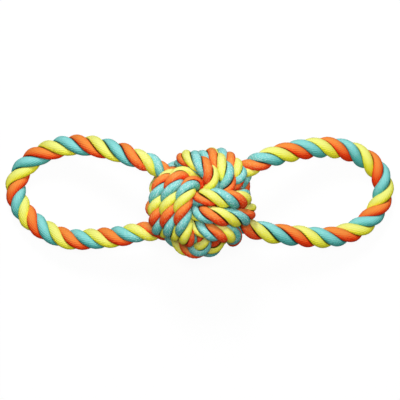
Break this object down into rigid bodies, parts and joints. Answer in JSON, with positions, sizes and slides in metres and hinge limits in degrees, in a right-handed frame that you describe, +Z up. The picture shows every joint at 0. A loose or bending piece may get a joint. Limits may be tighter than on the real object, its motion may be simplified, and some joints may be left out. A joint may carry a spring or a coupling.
{
  "type": "rope dog toy",
  "caption": "Cotton rope dog toy: one laid rope tied into a monkey's fist ball, with a hand loop on each side for tugging.",
  "frame": {"origin": "on the floor, under the middle of the toy's box", "axes": "+X from loop to loop, +Y across in the floor's plane, +Z up"},
  "size_m": [0.3102, 0.0982, 0.0843],
  "materials": {
    "orange": "matte cotton",
    "yellow": "matte cotton",
    "turquoise": "matte cotton",
    "twine": "matte cotton"
  },
  "bodies": {
    "knot": {"first_turns": "yellow", "second_turns": "turquoise", "third_turns": "orange", "left_tail": "orange", "right_tail": "turquoise", "tail_binding": "twine"},
    "left_loop": {"left_loop": "turquoise"},
    "right_loop": {"right_loop": "yellow"}
  },
  "joints": [
    {"name": "left_loop_swing", "type": "hinge", "parent": "knot", "child": "left_loop", "pos_m": [-0.04988, 0.00088, 0.03617], "axis": [0, 0.9724, 0.2331], "range_deg": [-45, 75]},
    {"name": "right_loop_swing", "type": "hinge", "parent": "knot", "child": "right_loop", "pos_m": [0.05012, 0.00068, 0.03617], "axis": [0, -0.9944, -0.1058], "range_deg": [-45, 75]}
  ]
}
